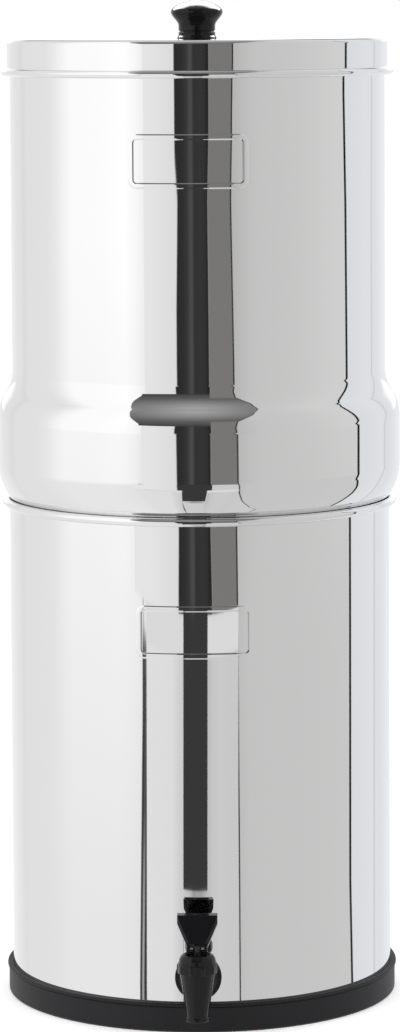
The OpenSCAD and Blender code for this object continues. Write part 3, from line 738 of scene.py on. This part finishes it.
def floor_material():
    """Pale table that keeps the shadow. For the steel it is a glowing strip from the slit to the part, a
    painted reflection.
    """
    material, tree = blank_material("pale table")
    matt = new_node(tree, "ShaderNodeBsdfDiffuse", [("Color", TABLE_TINT)])
    path = new_node(tree, "ShaderNodeLightPath")
    lift = glow(tree, WHITE, worked(tree, "MULTIPLY", path.outputs["Is Camera Ray"], 0.3))
    lit = shaders_added(tree, matt, lift)

    x, y, _ = position(tree)
    left = followed(tree, y, [(FLAP_Y, FLAP_SLIT[0]), (-0.12, -0.008)])
    right = followed(tree, y, [(FLAP_Y, FLAP_SLIT[1]), (-0.12, 0.005)])
    on_card = worked(
        tree, "MULTIPLY", band(tree, x, left, right, 0.0005), ranged(tree, y, FLAP_Y - 0.001, FLAP_Y + 0.001)
    )
    # Painted reflection: for the steel this strip of table glows with set levels instead of being lit.
    card = glow(tree, painted_table_reflection(tree, x, y))
    mirrored = shaders_mixed(tree, on_card, new_node(tree, "ShaderNodeBsdfTransparent"), card)
    show(tree, shaders_mixed(tree, path.outputs["Is Glossy Ray"], lit, mirrored))
    return material


def painted_table_reflection(tree, x, y):
    """Painted reflection of the table between the flap and the part, glowing for the steel, dimmer in the
    middle and on the right.
    """
    side = followed(tree, x, [(-0.10, 0.70), (-0.06, 0.60), (0.06, 0.56), (0.10, 0.60)])
    middle = followed(tree, x, [(-0.075, 0.58), (-0.045, 0.50), (-0.030, 0.33), (0.01, 0.36), (0.04, 0.52)])
    far = ranged(tree, y, -0.47, -0.50)
    between = worked(tree, "MULTIPLY", far, band(tree, x, -0.075, 0.04, 0.002))
    return mixed(tree, between, cloth(tree, side), cloth(tree, middle))


def position(tree):
    """Place in space of what is shaded: its three numbers."""
    return numbers_of(tree, new_node(tree, "ShaderNodeNewGeometry").outputs["Position"])


def numbers_of(tree, vector):
    """The three numbers of a vector."""
    return new_node(tree, "ShaderNodeSeparateXYZ", [(0, vector)]).outputs


def shaders_mixed(tree, share, first, second):
    """Mix of two shader nodes."""
    given = [(0, share), (1, first.outputs[0]), (2, second.outputs[0])]
    return new_node(tree, "ShaderNodeMixShader", given)


def shaders_added(tree, first, second):
    """Sum of two shader nodes."""
    return new_node(tree, "ShaderNodeAddShader", [(0, first.outputs[0]), (1, second.outputs[0])])


def blank_material(name):
    """Material without nodes, and its tree."""
    material = bpy.data.materials.new(name)
    material.use_nodes = True
    material.node_tree.nodes.clear()
    return material, material.node_tree


def glow(tree, colour, strength=1.0):
    """Emission shader node."""
    return new_node(tree, "ShaderNodeEmission", [("Color", colour), ("Strength", strength)])


def show(tree, shader):
    """Makes a shader node what the material shows."""
    new_node(tree, "ShaderNodeOutputMaterial", [("Surface", shader.outputs[0])])


def flap_material():
    """Cloth of the flap that stands on the table, with its hem and the shade beside its slit."""
    material, tree = blank_material("flap cloth")
    x, _, z = position(tree)
    across = worked(tree, "MULTIPLY_ADD", z, -FLAP_LEAN, x)
    left = followed(tree, across, [(-0.28, 0.73), (-0.14, 0.715), (-0.10, 0.62), (-0.08, 0.59)])
    right = followed(tree, across, [(0.04, 0.56), (0.047, 0.50), (0.06, 0.555), (0.10, 0.585), (0.2, 0.57)])
    colour = mixed(tree, ranged(tree, across, -0.01, 0.01), cloth(tree, left), cloth(tree, right))
    colour = mixed(tree, ranged(tree, z, 0.172, 0.178), colour, grey(0.69))
    show(tree, glow(tree, colour))
    return material


def even_glow(name, colour, strength=1.0, clear=False):
    """Material that glows evenly. If clear, it can be seen through as well."""
    material, tree = blank_material(name)
    shown = glow(tree, colour, strength)
    if clear:
        shown = shaders_added(tree, shown, new_node(tree, "ShaderNodeBsdfTransparent"))
    show(tree, shown)
    return material


def add_flap():
    """Two cards with the slit between them, and a tab above the left one, in front of the part."""
    cloth_finish = flap_material()
    for name, start, end in (
        ("flap_left", FLAP_ENDS[0], FLAP_SLIT[0]), ("flap_right", FLAP_SLIT[1], FLAP_ENDS[1])
    ):
        corners = standing((start, end), FLAP_Y, (FLAP_FOOT, FLAP_TOP))
        add_card(name, [(x + FLAP_LEAN * z, y, z) for x, y, z in corners], cloth_finish)
    add_card("flap_tab", standing(TAB_X, FLAP_Y, (FLAP_TOP, TAB_TOP)), even_glow("flap tab", grey(0.78)))


def standing(across, y, heights):
    """Corners of an upright card that faces along Y."""
    (left, right), (low, high) = across, heights
    return [(left, y, low), (right, y, low), (right, y, high), (left, y, high)]


def add_card(name, corners, finish):
    """Card that only steel and gloss see."""
    mesh = bpy.data.meshes.new(name)
    mesh.from_pydata(corners, [], [(0, 1, 2, 3)])
    mesh.materials.append(finish)
    card = bpy.data.objects.new(name, mesh)
    bpy.context.scene.collection.objects.link(card)
    card.visible_camera = False
    card.visible_diffuse = False
    card.visible_shadow = False
    card.visible_transmission = False
    return card


def add_back_light(knob):
    """Bright strip behind and above the knob, which lights its crown and nothing else."""
    finish = even_glow("strip light", WHITE, STRIP_POWER, clear=True)
    card = add_card("strip_light", standing(STRIP_X, STRIP_Y, STRIP_Z), finish)
    lit = bpy.data.collections.new("lit by the strip")
    lit.objects.link(knob)
    card.light_linking.receiver_collection = lit


def add_floor():
    """Round table top under the part."""
    shell = Shell()
    rings = [0.0, 0.2, 0.6, 1.5, 4.0, 12.0]
    shell.spin([(Vector((radius, -1e-5)), 180) for radius in reversed(rings)], 64)
    floor = shell.made("table")
    floor.data.materials.append(floor_material())


def add_lamp(name, place, size, power):
    """Soft lamp that points at the middle of the part and doesn't show in the steel."""
    data = bpy.data.lights.new(name, "AREA")
    data.shape = "DISK"
    data.size = size
    data.energy = power
    lamp = bpy.data.objects.new(name, data)
    lamp.location = place
    lamp.rotation_euler = (Vector((0, 0, 0.3)) - Vector(place)).to_track_quat("-Z", "Y").to_euler()
    lamp.visible_glossy = False
    lamp.visible_transmission = False
    bpy.context.scene.collection.objects.link(lamp)


def add_camera():
    """Long lens, level with the lid and a little to the right of the tap."""
    data = bpy.data.cameras.new("camera")
    data.sensor_width = 36
    data.lens = CAMERA_LENS
    data.shift_y = CAMERA_SHIFT
    data.clip_end = 60
    camera = bpy.data.objects.new("camera", data)
    swing = math.radians(CAMERA_AZIMUTH)
    camera.matrix_world = (
        Matrix.Translation((CAMERA_AWAY * math.sin(swing), -CAMERA_AWAY * math.cos(swing), CAMERA_HEIGHT))
        @ Matrix.Rotation(math.radians(CAMERA_AZIMUTH + CAMERA_YAW), 4, "Z")
        @ Matrix.Rotation(math.radians(90 - CAMERA_PITCH), 4, "X")
        @ Matrix.Rotation(math.radians(-CAMERA_ROLL), 4, "Z")
    )
    bpy.context.scene.collection.objects.link(camera)
    bpy.context.scene.camera = camera


# ---------- steel ----------


def make_lid():
    """Lid with a rolled flange."""
    low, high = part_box("lid")
    lid_r = high.x - 2 * LID_CURL + SHEET
    skirt = high.z - low.z - LID_CORNER - LID_CURL
    moves = [(lid_r - LID_CORNER, 0), (LID_CORNER, -90), (skirt, 0), (LID_CURL - SHEET, CURL_TURN)]
    shell = Shell()
    shell.spin(sheet(trace(moves, (0, high.z), 0), -SHEET))
    stands_for(shell.made("lid_shell"), "lid")


def make_upper_chamber():
    """Upper chamber: a dished foot, the shoulder that rests on the lower rim, a neck and a rolled rim."""
    low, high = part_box("upper_chamber")
    bulge_r = min(high.x, -low.x)
    seat_at = bulge_r - SEAT_R
    flat_r = seat_at + (SEAT_R - FOOT_R) * math.cos(math.radians(FOOT_SLOPE))
    seat_z = low.z + FOOT_R + (SEAT_R - FOOT_R) * math.sin(math.radians(FOOT_SLOPE))
    flare_turn = 2 * math.degrees(math.atan((bulge_r - upper_r()) / FLARE_H))
    flare_r = FLARE_H / 2 / math.sin(math.radians(flare_turn))
    moves = [
        (flat_r, 0),
        (FOOT_R, 90 - FOOT_SLOPE),
        (SEAT_R, FOOT_SLOPE),
        (BULGE_H, 0),
        (flare_r, flare_turn),
        (flare_r, -flare_turn),
        (high.z - UPPER_CURL - FLARE_H - BULGE_H - seat_z, 0),
        (UPPER_CURL, CURL_TURN),
    ]
    shell = Shell()
    shell.spin(sheet(trace(moves, (0, low.z), 0), SHEET))
    stands_for(shell.made("upper_shell"), "upper_chamber")


def make_lower_chamber():
    """Lower chamber: a floor pressed up inside its foot, a straight wall and a rim rolled outwards."""
    low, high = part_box("lower_chamber")
    step_bend = FLOOR_RISE / 2 / (1 - math.cos(math.radians(STEP_TURN)))
    step_run = 2 * step_bend * math.sin(math.radians(STEP_TURN))
    moves = [
        (lower_r() - LOWER_CORNER - FOOT_LAND - step_run, 0),
        (step_bend, -STEP_TURN),
        (step_bend, STEP_TURN),
        (FOOT_LAND, 0),
        (LOWER_CORNER, 90),
        (high.z - low.z - LOWER_CURL - LOWER_CORNER, 0),
        (LOWER_CURL - SHEET, -CURL_TURN),
    ]
    shell = Shell()
    shell.spin(sheet(trace(moves, (0, low.z + FLOOR_RISE), 0), SHEET))
    stands_for(shell.made("lower_shell"), "lower_chamber")


def lower_r():
    """Outside radius of the lower chamber's wall."""
    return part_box("lower_chamber")[1].x + SHEET - 2 * LOWER_CURL


def upper_r():
    """Outside radius of the upper chamber's neck, which nests in the lower chamber."""
    return lower_r() - SHEET - NEST_PLAY


# ---------- turned pieces ----------


def turned_piece(name, node, outline, cuts=SMALL_CUTS, relief=None):
    """Piece turned round its node's own upright axis."""
    low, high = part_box(node)
    shell = Shell()
    shell.spin(outline, cuts, relief)
    middle = (low + high) / 2
    return stands_for(shell.made(name, Matrix.Translation((middle.x, middle.y, 0))), node)


def radius_of(node):
    """Largest radius of a node that is round about its own upright axis."""
    low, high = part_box(node)
    return (high.x - low.x) / 2


def finely(stations, low, high, step):
    """Outline with its upright stretches between two heights cut into short steps."""
    result = [stations[0]]
    for (start, aim), (end, following) in zip(stations, stations[1:]):
        upright = abs(start.x - end.x) < 1e-7 and abs(end.y - start.y) > step
        inside = min(start.y, end.y) < high and max(start.y, end.y) > low
        if upright and inside:
            count = math.ceil(abs(end.y - start.y) / step)
            result += [(start.lerp(end, k / count), aim) for k in range(1, count)]
        result.append((end, following))
    return result


def thread(foot, seat):
    """Relief of the screw thread on a stem, which fades out near both ends."""
    low, high = foot + THREAD_END, seat - THREAD_END

    def lift(angle, height):
        """Lift of the surface, below zero in the thread's groove."""
        fade = max(0.0, min(1.0, (height - low) / THREAD_PITCH, (high - height) / THREAD_PITCH))
        wave = math.cos(2 * math.pi * (height / THREAD_PITCH - angle / 2 / math.pi))
        return -THREAD_DEPTH * fade * (0.5 - 0.5 * max(-1.0, min(1.0, 1.6 * wave)))

    return lift


def ring_outline(inner, outer, low, high, fillet):
    """Closed outline of a ring with rounded edges."""
    return rounded(
        [(inner, low, fillet), (outer, low, fillet), (outer, high, fillet), (inner, high, fillet)], True
    )


def make_seals():
    """Rubber washers of the filters and plugs, and the nylon one under the lid."""
    for node in frame["nodes"]:
        if node.startswith(("plug_washer", "filter_1_washer", "filter_2_washer")):
            low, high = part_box(node)
            outline = ring_outline(STEM_R + STEM_PLAY, radius_of(node), low.z, high.z, 0.0005)
            turned_piece(node.replace("washer", "seal"), node, outline)
    low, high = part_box("lid_knob_washer")
    bore = 0.0029
    outline = ring_outline(bore, radius_of("lid_knob_washer"), low.z, high.z, 0.0003)
    turned_piece("lid_washer", "lid_knob_washer", outline)


def make_filter(number):
    """Carbon element with its rounded top, and the moulded base with its threaded stem."""
    low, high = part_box(f"filter_{number}_element")
    r = radius_of(f"filter_{number}_element")
    element = rounded([
        (0, low.z, 0), (r - 0.0012, low.z, 0.0003), (r - 0.0012, low.z + 0.003, 0),
        (r, low.z + 0.0042, 0.0006), (r, high.z, 0.006), (0, high.z, 0),
    ])
    turned_piece(f"carbon_element_{number}", f"filter_{number}_element", element)
    base_low, base_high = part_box(f"filter_{number}_base")
    seat = base_low.z + STEM_L
    base = rounded([
        (STEM_BORE, base_low.z, 0.0003), (STEM_R, base_low.z, 0.0008), (STEM_R, seat, 0),
        (0.014, seat, 0.0004), (r - 0.002, seat + 0.003, 0.0015), (r, seat + 0.005, 0.0008),
        (r, base_high.z, 0.0006), (0, base_high.z, 0),
    ])
    bore_end = seat + 0.004
    base = finely(with_bore(base, STEM_BORE, bore_end), base_low.z, seat, THREAD_STEP)
    turned_piece(
        f"filter_foot_{number}", f"filter_{number}_base", base, SMALL_CUTS // 2, thread(base_low.z, seat)
    )


def with_bore(stations, bore_r, end_z):
    """Outline that runs out along the flat end of a blind bore and down its wall before its stations."""
    corner = Vector((bore_r, end_z))
    foot = Vector((bore_r, stations[0][0].y))
    return [(Vector((0, end_z)), 0), (corner, 0), (corner, -90), (foot, -90)] + stations


def make_plug(number):
    """Plug for a spare hole: a notched head and a threaded stem."""
    node = f"hole_plug_{number}"
    low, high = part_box(node)
    seat = low.z + STEM_L
    head_r = 0.012
    notches = 8
    notch_depth = 0.0009
    notch_half = 0.227
    outline = rounded([
        (0, low.z, 0), (STEM_R, low.z, 0.0008), (STEM_R, seat, 0), (head_r, seat, 0.0002),
        (head_r, high.z, 0.0015), (0, high.z, 0),
    ])
    cut_thread = thread(low.z, seat)

    def grips(angle, height):
        """Thread on the stem, and notches round the head above it."""
        if height < seat:
            return cut_thread(angle, height)
        turn = (angle * notches / 2 / math.pi + 0.5) % 1 - 0.5
        if abs(turn) >= notch_half:
            return 0.0
        rise = max(0.0, min(1.0, (height - seat - 0.001) / 0.001))
        return -notch_depth * rise * max(0.0, math.cos(turn * math.pi * 2.2)) ** 1.5

    outline = finely(outline, low.z, high.z, THREAD_STEP)
    turned_piece(f"blanking_plug_{number}", node, outline, SMALL_CUTS, grips)


def make_knob():
    """Black knob: a flared foot, a groove, a waist and a domed crown."""
    low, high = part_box("lid_knob")
    widest = radius_of("lid_knob")
    neck = 0.01225
    foot = 0.0132
    groove = neck - 0.0007
    shoulder = low.z + 0.005
    crown_z = high.z - 0.0082

    def waist(t):
        """Curve from the neck out to the crown."""
        return (
            neck + (widest - neck) * (1 - math.cos(math.pi * t)) / 2,
            shoulder + 0.003 + (crown_z - shoulder - 0.003) * t,
        )

    outline = rounded([
        (0, low.z, 0), (foot, low.z, 0.0003), (foot, low.z + 0.0006, 0.0002), (neck, low.z + 0.0018, 0.001),
        (neck, low.z + 0.004, 0.0002), (groove, low.z + 0.0042, 0.0001),
        (groove, shoulder - 0.0002, 0.0001), (neck, shoulder, 0.0002), (neck, shoulder + 0.003, 0),
    ])
    edge = 0.003
    crown_h = high.z - crown_z - edge
    crown_r = ((widest - edge) ** 2 + crown_h ** 2) / 2 / crown_h
    crown_turn = math.degrees(math.asin((widest - edge) / crown_r))
    outline += curve(waist, 24)[1:]
    outline += trace([(edge, 90 - crown_turn), (crown_r, crown_turn)], (widest, crown_z), 90)[1:]
    return turned_piece("knob", "lid_knob", outline, 128)


def make_base_ring():
    """Rubber ring round the foot, with a lip along its top."""
    low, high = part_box("base_ring")
    outer = high.x - 0.0009
    lip = high.x
    inner = lower_r() + 0.0001
    sole_r = lower_r() - 0.022
    sole_z = low.z + 0.002
    crease = high.z - 0.0022
    outline = rounded([
        (sole_r, low.z, 0.0003), (outer - 0.0012, low.z, 0.0008), (outer, low.z + 0.0012, 0.0008),
        (outer, crease - 0.0006, 0.0001), (outer - 0.0003, crease - 0.0003, 0.0001), (outer, crease, 0.0001),
        (lip, crease + 0.0004, 0.0005), (lip, high.z, 0.001), (inner, high.z, 0.0003),
        (inner, sole_z, 0.008), (sole_r, sole_z, 0.0003),
    ], True)
    turned_piece("foot_ring", "base_ring", outline, ROUND_CUTS)


def make_bonnet():
    """Bonnet that holds the valve: a ribbed band, a dome and a guide collar."""
    low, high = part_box("tap_bonnet")
    r = 0.0125
    band_z = low.z + 0.0064
    dome_h = 0.0058
    flat = 0.0082
    collar = 0.0042
    bore = 0.003
    dome = curve(lambda t: (
        flat + (r - 0.0006 - flat) * math.cos(t * math.pi / 2),
        band_z + dome_h * math.sin(t * math.pi / 2),
    ), 12)
    outline = rounded([
        (0.0106, low.z, 0), (r, low.z, 0.0004), (r, band_z, 0.0003), (r - 0.0006, band_z, 0.0002),
        (r - 0.0006, band_z + 0.0004, 0),
    ])[:-1]
    outline += dome
    outline += rounded([
        (flat, band_z + dome_h, 0), (collar, band_z + dome_h, 0.0004), (collar, high.z, 0.0003),
        (bore, high.z, 0.0002), (bore, high.z - 0.004, 0), (0.0086, low.z + 0.0066, 0),
        (0.0106, low.z + 0.0056, 0), (0.0106, low.z, 0),
    ])

    ribs = upright_ribs(low.z, band_z, count=10, half_turn=7, out=0.00064)
    turned_piece("bonnet", "tap_bonnet", finely(outline, low.z, band_z, 0.0002), 240, ribs)


def upright_ribs(foot, top, count, half_turn, out):
    """Relief of upright ribs round a band, each reaching half_turn to either side of its middle."""
    end = 0.0004
    run = 0.0008

    def lift(angle, height):
        """Lift of the surface, which fades out near both ends of a rib."""
        turn = ((angle * count / 2 / math.pi + 0.5) % 1 - 0.5) * 360 / count
        share = min(1.0, (height - foot - end) / run, (top - end - height) / run)
        if share < 0 or abs(turn) >= half_turn:
            return 0.0
        return out * share * math.cos(math.radians(turn * 90 / half_turn)) ** 0.8

    return lift


def make_cup():
    """Silicone cup of the valve, copied from its node and given its finish."""
    cup = bpy.data.objects.new("valve_cup", frame["nodes"]["tap_seat_cup"].data.copy())
    bpy.context.scene.collection.objects.link(cup)
    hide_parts("tap_seat_cup")
    dressed(cup, SLOTS["tap_seat_cup"])
    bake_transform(cup)


# ---------- pressed frames ----------


def ridge(u):
    """Height of a frame's flat-topped ridge and its slope, at a distance from its middle line."""
    inside = FRAME_RIDGE_W / 2 - abs(u)
    if inside >= FRAME_RIDGE_SIDE:
        return FRAME_RIDGE_H, 0.0
    turn = math.pi * max(inside, 0.0) / FRAME_RIDGE_SIDE
    slope = FRAME_RIDGE_H * math.pi / 2 / FRAME_RIDGE_SIDE * math.sin(turn)
    return FRAME_RIDGE_H * (1 - math.cos(turn)) / 2, math.copysign(slope, u)


def press_frame(name, node, wall_r, middle, angle, width, height):
    """Raised rounded-rectangle ridge on a wall, as pressed into the sheet from inside."""
    half_w, half_h = width / 2, height / 2
    path = rounded([
        (-half_w, -half_h, FRAME_CORNER), (half_w, -half_h, FRAME_CORNER),
        (half_w, half_h, FRAME_CORNER), (-half_w, half_h, FRAME_CORNER),
    ], True)[:-1]
    shell = Shell()
    loops = [
        ridge_loop(shell, place, left_of(aim), wall_r, middle, angle)
        for place, aim in spread_out(path, FRAME_STEP)
    ]
    for near, far in zip(loops, loops[1:] + loops[:1]):
        ridge_faces(shell, *near, *far)
    piece = shell.made(name)
    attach(piece, frame["nodes"][node]["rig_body"])
    dressed(piece, SLOTS[node])


def ridge_loop(shell, place, side, wall_r, middle, angle):
    """Points across a frame's ridge and back inside the sheet, and the normals of its face."""
    across = [FRAME_RIDGE_W * (k / FRAME_CUTS - 0.5) for k in range(FRAME_CUTS + 1)]
    loop, slope = [], []
    for u in across:
        spot = place + u * side
        lift, fall = ridge(u)
        loop.append(shell.point(on_wall(spot, wall_r, lift - FRAME_SINK, middle, angle)))
        slope.append(wall_direction(spot, side * fall, wall_r, angle))
    for u in (across[-1], across[0]):
        loop.append(shell.point(on_wall(place + u * side, wall_r, -SHEET / 2, middle, angle)))
    return loop, slope


def ridge_faces(shell, a, tilts_a, b, tilts_b):
    """Faces between two loops of a ridge: first its face, then its sides and back."""
    for k in range(FRAME_CUTS):
        shell.face(
            (a[k], b[k], b[k + 1], a[k + 1]), (tilts_a[k], tilts_b[k], tilts_b[k + 1], tilts_a[k + 1])
        )
    inward = tuple(-c for c in tilts_a[0])
    for k in range(FRAME_CUTS, len(a)):
        following = (k + 1) % len(a)
        shell.face((a[k], b[k], b[following], a[following]), [inward] * 4)


def spread_out(stations, step):
    """Closed path with its long straight stretches cut into steps."""
    result = []
    for (start, aim), (end, _) in zip(stations, stations[1:] + stations[:1]):
        count = max(1, math.ceil((end - start).length / step))
        result += [(start.lerp(end, k / count), aim) for k in range(count)]
    return result


def on_wall(spot, wall_r, lift, middle, angle):
    """Place in space of a spot on the unrolled wall, lifted off it."""
    turn = math.radians(angle) + spot.x / wall_r
    radius = wall_r + lift
    return (radius * math.cos(turn), radius * math.sin(turn), middle + spot.y)


def wall_direction(spot, tilt, wall_r, angle):
    """Unit normal of a wall tilted along its unrolled plane."""
    turn = math.radians(angle) + spot.x / wall_r
    normal = Vector((
        math.cos(turn) - tilt.x * math.sin(turn), math.sin(turn) + tilt.x * math.cos(turn), tilt.y,
    ))
    return tuple(normal.normalized())


# ---------- everything ----------

bpy.context.scene.view_settings.view_transform = "Standard"
studio_world()
add_floor()
add_flap()
add_lamp("lamp_left", (-2.2, -2.0, 2.6), size=1.6, power=28)
add_lamp("lamp_right", (2.4, -1.4, 2.2), size=1.6, power=18)
add_lamp("lamp_above", (0.0, 0.6, 3.2), size=2.0, power=26)
add_camera()
make_lid()
make_upper_chamber()
make_lower_chamber()
make_seals()
make_filter(1)
make_filter(2)
for plug_number in (1, 2, 3, 4):
    make_plug(plug_number)
add_back_light(make_knob())
make_base_ring()
make_bonnet()
make_cup()
press_frame(
    "upper_frame", "upper_chamber", upper_r(), middle=0.5611, angle=-91.8, width=0.0746, height=0.0311
)
press_frame(
    "lower_frame", "lower_chamber", lower_r(), middle=0.2592, angle=-90.5, width=0.0728, height=0.0304
)

WING_NUT_EDGE = 0.0005
EDGES = {
    "tap_lever": 0.0005, "tap_body": 0.0003, "tap_nut": 0.0004, "lid_knob_screw": 0.0002,
    "tap_outer_washer": 0.0004, "tap_inner_washer": 0.0004, "tap_lever_pin": 0.0003, "tap_stem": 0.0002,
}
for node, piece in frame["nodes"].items():
    if not piece.hide_render:
        carried_over(node, EDGES.get(node, WING_NUT_EDGE if "wing_nut" in node else 0.0))
